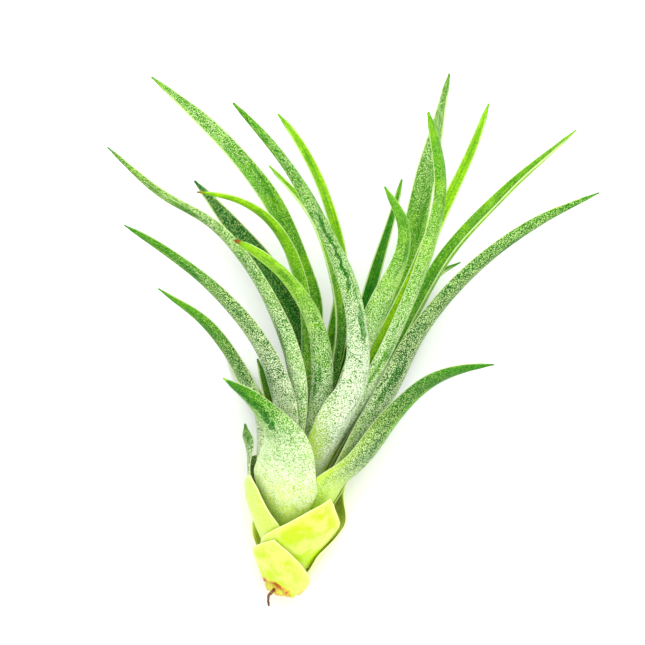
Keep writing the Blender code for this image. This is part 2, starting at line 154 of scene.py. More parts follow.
LEAVES = {
    "leaf_01": Leaf(178, 0, 21, 90, [
        (17.2, 64.2, 19, 4.0), (22.2, 80.8, 21, 3.2), (26.4, 94.8, 22, 2.2),
        (29.0, 104.5, 22, TIP)]),
    "leaf_02": Leaf(-128, 0, 22, 100, [
        (13.2, 61.8, 25, 4.6), (12.3, 79.3, 31, 4.2), (6.9, 94.8, 35, 3.4),
        (-4.2, 107.8, 38, TIP)]),
    "leaf_03": Leaf(28, 0, 20, 100, [
        (17.8, 59.2, 29, 6.4), (23.6, 73.4, 37, 7.0), (29.0, 85.5, 46, 4.8), (29.2, 93.0, 52, 3.2),
        (24.5, 102.2, 60, TIP)]),
    "leaf_04": Leaf(-165, 1, 22, 90, [
        (10.5, 58.0, 16, 4.2), (13.9, 83.9, 21, 3.4), (9.8, 100.3, 24, 2.9), (3.3, 113.9, 26, 2.4),
        (-2.0, 120.8, 26, TIP)]),
    "leaf_05": Leaf(-70, 0, 26, 120, [
        (5.2, 64.2, 26.5, 4.8), (2.7, 82.0, 34, 4.9), (-4.1, 94.2, 41, 4.6), (-12.8, 99.6, 45, 3.4),
        (-22.0, 101.1, 47, 1.3)], 25),
    "leaf_06": Leaf(135, 1, 23, 80, [
        (29.4, 74.2, 16, 4.2), (39.0, 96.0, 19, 3.4), (46.3, 111.2, 20, 2.8),
        (50.8, 123.5, 20, TIP)], 35),
    "leaf_07": Leaf(-5, 1, 30, 110, [
        (9.0, 53.0, 28.5, 6.6), (7.2, 68.0, 37, 5.2), (1.8, 77.8, 46, 4.2), (-6.5, 85.5, 56, 3.4),
        (-12.5, 89.0, 62, 1.9)]),
    "leaf_08": Leaf(165, 2, 28, 90, [
        (25.2, 71.8, 12.5, 6.4), (31.5, 89.2, 13, 6.6), (35.7, 108.0, 13, 5.6),
        (38.4, 119.5, 12.5, 3.4), (41.0, 131.2, 12, TIP)]),
    "leaf_09": Leaf(-112, 2, 28, 90, [
        (6.8, 71.0, 21, 6.0), (3.7, 81.7, 23.5, 6.2), (-4.0, 99.7, 27, 5.8),
        (-19.6, 118.0, 29, 4.2), (-33.6, 130.0, 30, TIP)], -35),
    "leaf_10": Leaf(62, 2, 34, 100, [
        (20.3, 51.8, 24.5, 7.4), (28.7, 69.2, 32, 6.6), (35.3, 86.2, 41, 6.2),
        (38.6, 101.8, 50, 5.0), (37.0, 113.8, 58, 3.2), (35.2, 120.5, 63, 1.7)], -8),
    "leaf_11": Leaf(108, 3, 24, 120, [
        (30.2, 67.5, 21.5, 6.2), (39.8, 84.8, 24.5, 6.6), (55.0, 101.5, 28, 4.8),
        (72.5, 116.8, 31, TIP)], 6),
    "leaf_12": Leaf(-42, 2, 30, 100, [
        (2.6, 54.2, 30, 7.2), (-4.0, 74.0, 36, 5.8), (-16.5, 91.6, 44, 4.9),
        (-31.8, 101.2, 51, 4.0), (-44.0, 112.0, 58, TIP)]),
    "leaf_13": Leaf(-135, 3, 28, 100, [
        (5.2, 64.2, 12, 6.6), (-2.5, 79.2, 14, 6.2), (-12.5, 91.8, 15, 5.2),
        (-23.0, 104.2, 15.5, TIP)], -30),
    "leaf_14": Leaf(128, 4, 24, 90, [
        (31.0, 72.8, 10, 2.8), (38.5, 81.0, 10.5, 2.2), (43.8, 83.8, 11, TIP)]),
    "leaf_15": Leaf(25, 3, 40, 115, [
        (13.5, 46.3, 29, 11.0), (16.8, 52.3, 31.5, 9.2), (18.3, 63.0, 37, 7.0),
        (15.8, 77.5, 46, 5.2), (8.0, 94.8, 59, 3.9), (-1.5, 110.0, 71, 2.8),
        (-12.8, 122.5, 81, 1.1)]),
    "leaf_16": Leaf(180, 5, 30, 90, [
        (14.0, 50.0, 6.2, 5.4), (18.0, 62.0, 6, 4.6), (16.5, 76.0, 6, TIP)]),
    "leaf_17": Leaf(82, 5, 36, 95, [
        (24.2, 48.8, 22, 9.0), (33.0, 65.7, 26.3, 7.2), (46.3, 81.5, 31.4, 6.0),
        (63.4, 94.1, 36, 4.5), (78.0, 101.0, 39, TIP)], -40),
    "leaf_18": Leaf(-148, 6, 24, 90, [
        (-3.0, 45.5, 10, 4.4), (-5.0, 53.0, 11, 3.6), (-7.2, 59.5, 12, TIP)]),
    "leaf_19": Leaf(-55, 3, 36, 100, [
        (-1.0, 49.2, 28, 9.6), (-7.0, 64.0, 33, 7.4), (-19.3, 78.2, 40, 5.7),
        (-32.9, 88.5, 47, 3.7), (-40.0, 92.8, 51, TIP)], 15),
    "leaf_20": Leaf(145, 6, 32, 90, [
        (19.0, 50.0, 5, 5.4), (26.0, 66.0, 3.5, 4.4), (33.0, 82.0, 4, TIP)]),
    "leaf_21": Leaf(-95, 7, 34, 95, [
        (-7.2, 46.8, 19, 8.0), (-12.3, 57.9, 21, 7.0), (-20.4, 68.8, 23, 5.6),
        (-32.0, 77.2, 24, TIP)], 40),
    "leaf_22": Leaf(66, 7, 56, 100, [
        (19.0, 33.0, 22, 13.2), (26.3, 44.7, 26.5, 7.2), (36.0, 53.8, 32, 5.8),
        (44.8, 57.3, 37, 3.6), (51.8, 58.2, 41, TIP)], -36),
    "leaf_23": Leaf(-160, 8, 34, 90, [
        (-5.2, 46.0, 4, 5.0), (-11.5, 55.5, 1.0, 3.6), (-15.5, 61.5, 1.0, TIP)]),
    "leaf_24": Leaf(124, 8, 28, 90, [
        (21.5, 44.0, 7, 5.4), (28.5, 57.0, 3, 4.8), (34.0, 67.0, 1.4, 3.4),
        (40.0, 76.0, 1.6, TIP)]),
    "leaf_25": Leaf(-26, 8, 50, 120, [
        (-0.8, 38.0, 29.5, 15.2), (-5.6, 46.6, 34.5, 8.6), (-10.5, 51.3, 38.5, 5.2),
        (-15.5, 54.8, 43, TIP)]),
    "leaf_26": Leaf(-100, 9, 26, 70, [
        (-9.5, 33.0, 14, 6.2), (-9.6, 38.0, 15, 5.6), (-10.3, 43.2, 16, TIP)], 210),
}
print("leaves:", len(LEAVES))

# %% [markdown]
# ## From a route to a spine
#
# A route has only a few stops, so a smooth curve is passed through them. The spine of a leaf is
# its base's line up to the mouth of the bulb, and the curve after it. Along the spine go three
# directions: along the leaf, across it, and into its channel. The last is carried from row to row
# without twisting, as a leaf grows.

# %% The spine of a leaf
ROW_LENGTH = 1.15
BASE_STOPS = 12
SMOOTHINGS = 6              # times that the spine's corners are eased
BLADE_FORMS = 28.0          # length over which a sheath narrows into a channelled blade


def smooth_path(points, steps=16):
    """A curve through the points (Catmull-Rom with centripetal spacing)."""
    points = np.array(points, float)
    ends = [2 * points[0] - points[1], *points, 2 * points[-1] - points[-2]]
    path = []
    for a, b, c, d in zip(ends, ends[1:], ends[2:], ends[3:]):
        ta = 0.0
        tb = ta + np.linalg.norm((b - a)[:3]) ** 0.5
        tc = tb + np.linalg.norm((c - b)[:3]) ** 0.5
        td = tc + np.linalg.norm((d - c)[:3]) ** 0.5
        for t in np.linspace(tb, tc, steps, endpoint=False):
            ab = (tb - t) / (tb - ta) * a + (t - ta) / (tb - ta) * b
            bc = (tc - t) / (tc - tb) * b + (t - tb) / (tc - tb) * c
            cd = (td - t) / (td - tc) * c + (t - tc) / (td - tc) * d
            abc = (tc - t) / (tc - ta) * ab + (t - ta) / (tc - ta) * bc
            bcd = (td - t) / (td - tb) * bc + (t - tb) / (td - tb) * cd
            path.append((tc - t) / (tc - tb) * abc + (t - tb) / (tc - tb) * bcd)
    path.append(points[-1])
    return np.array(path)


def distances(path):
    steps = np.linalg.norm(np.diff(path[:, :3], axis=0), axis=1)
    return np.concatenate([[0.0], np.cumsum(steps)])


def leaf_spine(leaf):
    """Rows of a leaf: distance from its seat, centre, width, tangent. Then the mouth's distance."""
    base = []
    for height in np.linspace(seat_height(leaf.layer), MOUTH, BASE_STOPS):
        radius = base_radius(leaf.layer, height)
        centre = AXIS_FOOT + height * ALONG + radius * outward(math.radians(leaf.turn))
        base.append([*centre, 2 * math.radians(leaf.wrap) * radius])
    path = np.vstack([np.array(base[:-1]), smooth_path([base[-1], *leaf.route])])
    along = distances(path)
    stops = np.linspace(0.0, along[-1], round(along[-1] / ROW_LENGTH) + 1)
    centres = np.stack([np.interp(stops, along, path[:, axis]) for axis in range(3)], axis=1)
    smooth = centres.copy()
    for _ in range(SMOOTHINGS):
        smooth[1:-1] = 0.25 * smooth[:-2] + 0.5 * smooth[1:-1] + 0.25 * smooth[2:]
    widths = np.interp(stops, along, path[:, 3])
    tangents = np.gradient(smooth, stops, axis=0)
    return stops, smooth, widths, tangents, distances(np.array(base))[-1]


longest = max(LEAVES, key=lambda name: leaf_spine(LEAVES[name])[0][-1])
print("longest leaf:", longest, round(leaf_spine(LEAVES[longest])[0][-1], 1), "mm")

# %% [markdown]
# ## The cross-section of a leaf
#
# A blade is a shallow channel: thick along its rib, thin and a little wavy at its margins. Its
# inner face has a narrow groove over the rib and its outer face a faint keel. One ring of points
# goes round such a section, out along the outer face and back along the inner one. The points
# crowd towards the margins, so that these come out round. The sheath is the same ring bent to the
# bulb's curve, and it turns into the blade over a few centimetres.

# %% Rings of points round a leaf
AROUND = 28
RIB_THICK = 0.95
MARGIN_THICK = 0.3
GROOVE = 0.22
KEEL = 0.1
GROOVE_HALF, KEEL_HALF = 0.13, 0.2      # how far they reach, as shares of half the blade
WAVE = 0.13                 # how far the margins sway
WAVE_LENGTH = 8.5
WIDTH_SWAY, SWAY_LENGTH = 0.025, 7.0    # how much the width changes along a blade
THIN_BELOW = 3.0            # blades narrower than this have a thinner rib
FLAT_BELOW = 4.0            # blades narrower than this have a fainter groove and keel
ROUND_MARGIN = 0.3          # share of the ring that rounds a margin
TIP_LENGTH = 4.0            # length over which the tip narrows
TIP_KEEPS = 0.45            # what is left of the width at the very tip
CLEAR_OF_TABLE = 0.02
REACH_UNIT = 100.0          # the distance past the mouth is told in this many millimetres


def ring_angles(around):
    theta = np.linspace(0.0, 2 * math.pi, around + 1)
    return -np.cos(theta), np.sin(theta)


def leaf_rings(leaf, chance):
    """Rings of points round a leaf, what the materials need to know there, and the mouth's share.

    share and reach say how far along the leaf a point is, edge how far from the nearest margin
    in millimetres, across which half it is on, and inside whether it is on the inner face.
    """
    stops, centres, widths, tangents, mouth = leaf_spine(leaf)
    side, face = ring_angles(AROUND)
    length = stops[-1]
    clasp, channel = 2 * math.radians(leaf.wrap), math.radians(leaf.channel)
    phases = chance.uniform(0, 2 * math.pi, 6)
    inward = -outward(math.radians(leaf.turn))
    rings, edges = [], []
    for stop, centre, width, tangent in zip(stops, centres, widths, tangents):
        tangent = unit(tangent)
        inward = unit(inward - np.dot(inward, tangent) * tangent)
        formed = smoothstep(0.0, BLADE_FORMS, stop - mouth)
        twist = math.radians(leaf.twist) * formed
        faced = math.cos(twist) * inward + math.sin(twist) * np.cross(tangent, inward)
        across = np.cross(tangent, faced)
        ending = smoothstep(length - TIP_LENGTH, length, stop)
        width = width * (1 + WIDTH_SWAY * math.sin(stop / SWAY_LENGTH + phases[0]) * formed)
        width *= 1 - (1 - TIP_KEEPS) * ending
        bend = clasp + (channel - clasp) * formed
        radius = width / bend
        angle = 0.5 * bend * side
        centred = 0.5 * formed * (1 - math.cos(0.5 * bend))
        rise = 1 - np.cos(angle) - centred
        middle = centre + radius * (np.outer(np.sin(angle), across) + np.outer(rise, faced))
        middle[:, 2] = np.maximum(middle[:, 2], 0.5 * BASE_THICK)
        normal = np.outer(-np.sin(angle), across) + np.outer(np.cos(angle), faced)
        rib = BASE_THICK + (RIB_THICK - BASE_THICK) * formed
        rib = MARGIN_THICK + (rib - MARGIN_THICK) * min(1.0, width / THIN_BELOW)
        half = 0.5 * (MARGIN_THICK + (rib - MARGIN_THICK) * (1 - side**2) ** 0.8)
        half = half * np.minimum(1.0, np.abs(face) / ROUND_MARGIN) ** 0.5 * np.sign(-face)
        depth = formed * min(1.0, width / FLAT_BELOW)
        half -= GROOVE * depth * np.exp(-((side / GROOVE_HALF) ** 2)) * (face < 0)
        half -= KEEL * depth * np.exp(-((side / KEEL_HALF) ** 2)) * (face > 0)
        sway = np.where(side < 0, np.sin(stop / WAVE_LENGTH * 2 + phases[1]),
                        np.sin(stop / WAVE_LENGTH * 2.4 + phases[2]))
        half = half + WAVE * formed * (1 - ending) * side**2 * sway
        rings.append(middle + normal * half[:, None])
        edges.append(0.5 * width * (1 - np.abs(side)))
    rings = np.array(rings)
    rings[..., 2] = np.maximum(rings[..., 2], CLEAR_OF_TABLE)
    rows = len(stops)
    values = {
        "share": np.repeat(stops / length, AROUND + 1),
        "reach": np.repeat((stops - mouth) / REACH_UNIT, AROUND + 1),
        "edge": np.array(edges).ravel(),
        "across": np.tile(side, rows),
        "inside": np.tile(np.where(face < 0, 1.0, 0.0), rows),
    }
    return rings, values, mouth / length


print("points round a leaf:", AROUND)

# %% [markdown]
# ## Wrapping a skin round the rings
#
# A grid is the natural start for a leaf, because it brings its own map of the surface: one side of
# the grid runs round the leaf and the other along it. Its points are moved to the rings, the two
# long sides are sewn together along one margin, and the two ends are closed.

# %% Wrap and sew a skin
SAME_POINT = 0.000001       # metres


def face_outwards(sew=False):
    """Turn the picked piece's faces outwards and shade it smooth. First close it, if asked."""
    bpy.ops.object.mode_set(mode="EDIT")
    bpy.ops.mesh.select_all(action="SELECT")
    if sew:
        bpy.ops.mesh.remove_doubles(threshold=SAME_POINT)
        bpy.ops.mesh.fill_holes(sides=0)
    bpy.ops.mesh.normals_make_consistent(inside=False)
    bpy.ops.object.mode_set(mode="OBJECT")
    bpy.ops.object.shade_smooth()


def wrap_skin(name, rings, values):
    rows, columns = rings.shape[0] - 1, rings.shape[1] - 1
    bpy.ops.object.select_all(action="DESELECT")
    bpy.ops.mesh.primitive_grid_add(x_subdivisions=columns, y_subdivisions=rows, size=1)
    skin = bpy.context.object
    skin.name = skin.data.name = name
    skin.data.vertices.foreach_set("co", ((rings + PLACE) * MM).ravel())
    for key, numbers in values.items():
        layer = skin.data.attributes.new(key, "FLOAT", "POINT")
        layer.data.foreach_set("value", numbers.ravel().astype(float))
    face_outwards(sew=True)
    return skin


# %% [markdown]
# ## The bracts
#
# The lowest leaves have no blade. They are short yellow sheaths that clasp the bulb and end in a
# point. Each follows the bulb's own radius at its layer, starts to narrow at its shoulder, and
# leans in a little near its apex. The lowest one is torn along its foot, where it once held on.

# %% Rings of points round a bract


class Bract(NamedTuple):
    turn: float             # side that it grows on
    layer: int
    wrap: float             # half of the angle that it clasps
    shoulder: float         # height at which it starts to narrow
    apex: float             # height of its point
    apex_turn: float        # side that the point is on
    tuck: float             # layers that the point leans in by
    lobe: float             # how far the foot hangs down on one side
    torn: float             # how ragged the foot is


BRACTS = {
    "bract_1": Bract(172, 10, 84, 12.0, 27.0, 175, 1.0, 0.0, 0.0),
    "bract_2": Bract(-88, 11, 85, 16.0, 31.0, -58, 1.2, 0.0, 0.0),
    "bract_3": Bract(22, 12, 86, 12.0, 28.7, 38, 2.5, 0.0, 0.0),
    "bract_4": Bract(165, 13, 112, 12.0, 29.0, 118, 4.0, 0.0, 0.0),
    "bract_5": Bract(-32, 14, 104, 3.6, 15.9, -22, 1.0, 3.0, 0.5),
}
LOBE_TURN, LOBE_HALF = 38, 50           # side that the foot hangs on, and how wide it hangs
LOBE_LIFT = 0.2             # share of the lobe by which the rest of the foot is raised
BRACT_AROUND = 72
BRACT_ROWS = 34
ROW_CROWDING = 0.35         # how much closer the rows lie towards the apex
BRACT_THICK = 0.56
BRACT_MARGIN = 0.24
BRACT_ROUND_MARGIN = 0.2
BRACT_WAVE, BRACT_WAVE_LENGTH = 0.09, 1.9
WAVES_FROM = 0.2            # share of the rows from which the margins are wavy
APEX_HALF = 0.25            # half of the width at the very point
LEAN_FROM, LEAN_TO = 0.6, 0.15          # shares of the width between which it leans in


def bract_rings(bract, chance):
    """Rings of points round a bract, and what its material needs to know there."""
    side, face = ring_angles(BRACT_AROUND)
    seat = seat_height(bract.layer)
    phases = chance.uniform(0, 2 * math.pi, 4)
    rings, edges, shares = [], [], []
    for step in np.linspace(0.0, 1.0, BRACT_ROWS + 1):
        climbed = (1 + ROW_CROWDING) * step - ROW_CROWDING * step**2
        height = seat + (bract.apex - seat) * climbed
        share = np.clip((bract.apex - height) / (bract.apex - bract.shoulder), 0.0, 1.0)
        layer = bract.layer - bract.tuck * smoothstep(LEAN_FROM, LEAN_TO, share)
        least = APEX_HALF / base_radius(layer, height)
        half_angle = max(math.radians(bract.wrap) * share, least)
        middle = math.radians(bract.apex_turn + (bract.turn - bract.apex_turn) * share)
        angle = middle + half_angle * side
        ragged = np.sin(5 * angle + phases[0]) + 0.6 * np.sin(13 * angle + phases[1])
        ragged = bract.torn * ragged * (1 - step) ** 6
        thick = BRACT_MARGIN + (BRACT_THICK - BRACT_MARGIN) * (1 - np.abs(side) ** 6)
        offset = 0.5 * thick * np.minimum(1.0, np.abs(face) / BRACT_ROUND_MARGIN) ** 0.5
        offset *= np.sign(face)
        sway = np.sin(height / BRACT_WAVE_LENGTH + phases[2]) * (step > WAVES_FROM)
        offset += BRACT_WAVE * np.abs(side) ** 3 * sway
        out = np.array([outward(a) for a in angle])
        hang = np.exp(-(((angle - math.radians(LOBE_TURN)) / math.radians(LOBE_HALF)) ** 2))
        drop = bract.lobe * (hang - LOBE_LIFT) * (1 - step) ** 2
        radius = np.array([[base_radius(layer, height + max(0.0, -d))] for d in drop])
        centre = AXIS_FOOT + np.outer(height + ragged - drop, ALONG)
        points = centre + radius * out
        points[:, 2] = np.maximum(points[:, 2], 0.5 * BASE_THICK)
        rings.append(points + offset[:, None] * out)
        edges.append(radius[:, 0] * half_angle * (1 - np.abs(side)))
        shares.append(np.full(BRACT_AROUND + 1, step))
    rings = np.array(rings)
    rings[..., 2] = np.maximum(rings[..., 2], CLEAR_OF_TABLE)
    values = {
        "share": np.array(shares),
        "edge": np.array(edges),
        "across": np.tile(side, BRACT_ROWS + 1),
    }
    return rings, values


# %% [markdown]
# ## Colours of the plant
#
# The tissue is green under a coat of tiny silvery scales, and the less light a part gets, the
# yellower it is: the bracts and the foot of the bulb are nearly lemon. The colours are mixed as
# they look on a screen, so they are turned into linear light once, here.

# %% Colours


def screen(red, green, blue):
    """A colour as a screen shows it, from 0 to 255, in linear light."""
    def linear(value):
        value /= 255
        return value / 12.92 if value <= 0.04045 else ((value + 0.055) / 1.055) ** 2.4
    return (linear(red), linear(green), linear(blue), 1.0)


COLOURS = {
    "lemon": screen(192, 232, 0),
    "butter": screen(214, 232, 104),
    "straw": screen(198, 222, 70),
    "cream": screen(226, 236, 160),
    "mint": screen(150, 196, 92),
    "sage": screen(96, 142, 52),
    "grey_green": screen(52, 108, 54),
    "leaf": screen(64, 144, 0),
    "fresh": screen(100, 170, 0),
    "lime": screen(166, 214, 0),
    "deep": screen(14, 112, 0),
    # painted shade: the near black green of a leaf lying in shade under the plant
    "painted_shade_green": screen(10, 58, 4),
    "scale": screen(232, 240, 210),
    "thin_scale": screen(194, 230, 118),
    "glow": screen(196, 228, 40),
    "margin": screen(222, 234, 176),
    "gold": screen(222, 160, 48),
    "rust": screen(186, 84, 20),
    "bark": screen(140, 84, 34),
    "husk": screen(80, 44, 16),
}
DARKER = {                  # the share of red, green and blue that darker tissue keeps
    "patch": (0.5, 0.68, 0.3, 1.0),
    "vein": (0.5, 0.72, 0.3, 1.0),
    "pore": (0.2, 0.52, 0.06, 1.0),
    # rib: painted shade, the dark of the groove along the rib
    "rib": (0.25, 0.5, 0.2, 1.0),
    "bract_vein": (0.75, 0.86, 0.35, 1.0),
}

# %% [markdown]
# ## A node at a time
#
# A material is a small network. Short helpers keep the networks readable: one adds a node and
# plugs in what it is given, and the others stand for the steps that come back, such as mixing two
# colours, fading one number into another, or reading a number that the mesh carries.

# %% Helpers for materials
FINENESS = {                # features of each pattern in a metre
    "sunny": 110.0,
    "juice": 190.0,
    "dark": 260.0,
    "frost": 330.0,
    "rust": 330.0,
    "rubbed": 420.0,
    "grain": 900.0,
    "stem": 900.0,
    "root": 1500.0,
    "pore": 3400.0,
    "scale": 3600.0,
}
BUMP_DEPTH = 0.0002         # metres
SCATTER_DEPTH = 0.0015      # metres that light travels below the skin


def connect(tree, node, inputs):
    """Link the inputs that are given a socket, and set the others."""
    for key, value in inputs.items():
        if isinstance(value, bpy.types.NodeSocket):
            tree.links.new(value, node.inputs[key])
        else:
            node.inputs[key].default_value = value


def plug(tree, kind, inputs=None, **settings):
    """Add a node with these inputs and settings."""
    node = tree.nodes.new(kind)
    for key, value in settings.items():
        setattr(node, key, value)
    connect(tree, node, inputs or {})
    return node


def new_skin(name):
    """A new material, its tree of nodes, its shader, and the place on the piece."""
    material = bpy.data.materials.new(name)
    material.use_nodes = True
    tree = material.node_tree
    place = plug(tree, "ShaderNodeTexCoord").outputs["Object"]
    return material, tree, tree.nodes["Principled BSDF"], place


def mixed(tree, factor, first, second, way="MIX"):
    node = plug(tree, "ShaderNodeMix", {0: factor, 6: first, 7: second},
                data_type="RGBA", blend_type=way)
    return node.outputs[2]


def ramped(tree, value, low, high, to_low=0.0, to_high=1.0, smooth=True):
    node = plug(tree, "ShaderNodeMapRange", {0: value, 1: low, 2: high, 3: to_low, 4: to_high},
                interpolation_type="SMOOTHSTEP" if smooth else "LINEAR")
    return node.outputs[0]


def reckon(tree, way, first, second=0.0, third=0.0):
    inputs = {0: first, 1: second, 2: third}
    return plug(tree, "ShaderNodeMath", inputs, operation=way).outputs[0]


def times(tree, *factors):
    """The product of several numbers."""
    product = factors[0]
    for factor in factors[1:]:
        product = reckon(tree, "MULTIPLY", product, factor)
    return product


def told(tree, name):
    """A number that the mesh carries at each point."""
    return plug(tree, "ShaderNodeAttribute", attribute_name=name).outputs["Fac"]


def stretched(tree, source, scale, shift=0.0):
    """The same place on another measure, so that a pattern on it comes out long and thin."""
    inputs = {"Vector": source, "Scale": scale, "Location": (0.0, shift, 0.0)}
    return plug(tree, "ShaderNodeMapping", inputs).outputs[0]


def noise_in(tree, place, scale=1.0, detail=2.0, rough=0.5):
    inputs = {"Vector": place, "Scale": scale, "Detail": detail, "Roughness": rough}
    return plug(tree, "ShaderNodeTexNoise", inputs).outputs["Fac"]


def bumped(tree, height, strength):
    inputs = {"Height": height, "Strength": strength, "Distance": BUMP_DEPTH}
    return plug(tree, "ShaderNodeBump", inputs).outputs[0]


def colour_along(tree, value, stops):
    """A colour ramp with these (position, colour name) stops."""
    ramp = plug(tree, "ShaderNodeValToRGB", {0: value})
    ramp.color_ramp.interpolation = "EASE"
    elements = ramp.color_ramp.elements
    while len(elements) < len(stops):
        elements.new(1.0)
    for element, (position, name) in zip(elements, stops):
        element.position = position
        element.color = COLOURS[name]
    return ramp.outputs["Color"]


def amount_along(tree, value, stops):
    """A curve through these (position, amount) stops."""
    node = plug(tree, "ShaderNodeFloatCurve", {"Factor": 1.0, "Value": value})
    points = node.mapping.curves[0].points
    points[0].location, points[1].location = stops[0], stops[-1]
    for stop in stops[1:-1]:
        points.new(*stop)
    node.mapping.update()
    return node.outputs[0]


# %% [markdown]
# ## The skin of a leaf
#
# The tissue changes from straw at the bulb to green, with a fresher inner face, lime where the sun
# reached it, and yellow margins on the sheath. On some leaves one half of the blade is painted
# brighter: painted light. A dark line along the rib, deepest in the groove of the inner face, is
# painted shade. Fine veins run along the leaf, stretched noise on the leaf's own map, and dark
# pores lie between them. Silvery scales, each a quarter of a millimetre wide, cover it like frost:
# they are the cells of a Voronoi texture, and how large they grow decides how frosted the leaf
# looks.
# Where they are worn off, a deep green streak shows. Last, a thin pale line follows each margin.

# %% The skin of a leaf


def scales_on(tree, place, frost):
    """Where the silvery scales lie: up to 1 on a scale, 0 between them."""
    inputs = {"Vector": place, "Scale": FINENESS["scale"], "Randomness": 1.0}
    cells = plug(tree, "ShaderNodeTexVoronoi", inputs, feature="F1")
    patches = ramped(tree, noise_in(tree, place, FINENESS["frost"]), 0.3, 0.7, 0.86, 1.1)
    size = ramped(tree, times(tree, frost, patches), 0.0, 1.0, 0.16, 0.74, smooth=False)
    cover = ramped(tree, reckon(tree, "SUBTRACT", size, cells.outputs["Distance"]), -0.04, 0.08)
    tone = plug(tree, "ShaderNodeSeparateColor", {0: cells.outputs["Color"]}).outputs[0]
    return times(tree, cover, ramped(tree, tone, 0.0, 1.0, 0.55, 1.0))


def rubbed_on(tree, place, share, across, start, end, middle, half):
    """A ragged streak without scales, from start to end along the leaf."""
    ragged = ramped(tree, noise_in(tree, place, FINENESS["rubbed"], 3.0), 0.3, 0.7, -half, half)
    beside = reckon(tree, "SUBTRACT", across, middle)
    off = reckon(tree, "ABSOLUTE", reckon(tree, "ADD", ragged, beside))
    return times(tree, ramped(tree, off, 0.6 * half, 1.3 * half, 1.0, 0.0),
                 ramped(tree, share, start, start + 0.03), ramped(tree, share, end, end - 0.05))


def leaf_skin(name, stops, frost, inner="fresh", inner_share=0.35, painted_light_side=0, painted_light_colour="lime",
              worn_at=0.0, young=0.3, sunny=0.5, rubbed=None, bare_side=0):
    """The material of one leaf.

    stops: the (position, colour name) of the tissue along it.
    frost: the (position, amount) of its scales.
    inner, inner_share: the colour of the inner face, and how much of it shows.
    painted_light_side, lit: -1 or 1 where one half of the blade is painted brighter, as painted
    light, and its colour.
    worn_at: moves the worn streaks along the blade.
    young: how yellow the sheath's margins are.
    sunny: how much lime shows in patches.
    rubbed: one more streak: its start and end, its middle across the leaf, and half its width.
    bare_side: -1 or 1 where one half has lost its scales low on the blade.
    """
    material, tree, shader, place = new_skin(name)
    own_map = plug(tree, "ShaderNodeUVMap").outputs["UV"]
    share, reach, edge = told(tree, "share"), told(tree, "reach"), told(tree, "edge")
    inside, across = told(tree, "inside"), told(tree, "across")
    blade = ramped(tree, reach, 0.0, 0.3)

    tissue = colour_along(tree, share, stops)
    tissue = mixed(tree, times(tree, inside, blade, inner_share), tissue, COLOURS[inner])
    # Painted light: one half of the blade is painted a brighter colour.
    if painted_light_side:
        half = ramped(tree, times(tree, across, painted_light_side), -0.1, 0.35)
        tissue = mixed(tree, times(tree, half, blade), tissue, COLOURS[painted_light_colour])
    warm = noise_in(tree, place, FINENESS["sunny"], 3.0, 0.6)
    warm = times(tree, ramped(tree, warm, 0.48, 0.64, 0.0, sunny), blade)
    tissue = mixed(tree, warm, tissue, COLOURS["lime"])
    dark = noise_in(tree, place, FINENESS["dark"], 4.0, 0.65)
    dark = ramped(tree, dark, 0.38, 0.66, 0.0, 0.65)
    tissue = mixed(tree, dark, tissue, DARKER["patch"], "MULTIPLY")
    worn = noise_in(tree, stretched(tree, own_map, (7.0, 4.0, 1.0), worn_at), 1.0, 3.0, 0.6)
    worn = times(tree, ramped(tree, worn, 0.52, 0.66), blade)
    if rubbed:
        mark = rubbed_on(tree, place, share, across, *rubbed)
        worn = reckon(tree, "MAXIMUM", worn, times(tree, mark, 1.6))
    tissue = mixed(tree, times(tree, worn, 0.5), tissue, COLOURS["deep"])

    veins = noise_in(tree, stretched(tree, own_map, (46.0, 2.2, 1.0)))
    vein_line = ramped(tree, veins, 0.42, 0.62, 0.0, 0.28)
    tissue = mixed(tree, vein_line, tissue, DARKER["vein"], "MULTIPLY")
    pores = ramped(tree, noise_in(tree, place, FINENESS["pore"], 1.0), 0.42, 0.6, 0.0, 0.75)
    tissue = mixed(tree, times(tree, pores, blade), tissue, DARKER["pore"], "MULTIPLY")
    # Painted shade: a dark line along the rib, deepest in the groove of the inner face and fainter
    # on the outer face.
    rib = ramped(tree, reckon(tree, "ABSOLUTE", across), 0.03, 0.16, 0.6, 0.0)
    rib = times(tree, rib, ramped(tree, inside, 0.0, 1.0, 0.6, 1.0), blade)
    tissue = mixed(tree, rib, tissue, DARKER["rib"], "MULTIPLY")
    sheath = reckon(tree, "SUBTRACT", 1.0, blade)
    pale = times(tree, ramped(tree, edge, 0.6, 3.2, young, 0.0), sheath)
    tissue = mixed(tree, pale, tissue, COLOURS["glow"])

    amount = amount_along(tree, share, frost)
    left = times(tree, ramped(tree, inside, 0.0, 1.0, 1.0, 0.8),
                 ramped(tree, worn, 0.0, 1.4, 1.0, 0.3), ramped(tree, pale, 0.0, 0.85, 1.0, 0.5))
    if bare_side:
        half = ramped(tree, times(tree, across, bare_side), -0.3, 0.5)
        bare = times(tree, half, ramped(tree, reach, 0.05, 0.3, 0.6, 0.0))
        tissue = mixed(tree, bare, tissue, COLOURS["glow"])
        left = times(tree, left, reckon(tree, "SUBTRACT", 1.0, bare))
    scales = scales_on(tree, place, times(tree, amount, left))
    thick = ramped(tree, amount, 0.35, 0.9)
    silver = mixed(tree, thick, COLOURS["thin_scale"], COLOURS["scale"])
    colour = mixed(tree, scales, tissue, silver)
    line = times(tree, ramped(tree, edge, 0.08, 0.24, 0.6, 0.0),
                 ramped(tree, share, 0.93, 0.985, 1.0, 0.0))
    connect(tree, shader, {
        "Base Color": mixed(tree, line, colour, COLOURS["margin"]),
        "Roughness": ramped(tree, scales, 0.0, 1.0, 0.42, 0.78),
        "Normal": bumped(tree, reckon(tree, "MULTIPLY_ADD", veins, 0.35, scales), 0.45),
        "Specular IOR Level": 0.15,
        "Subsurface Weight": 0.3,
        "Subsurface Scale": SCATTER_DEPTH,
        "Subsurface Radius": (0.8, 1.0, 0.25),
    })
    return material
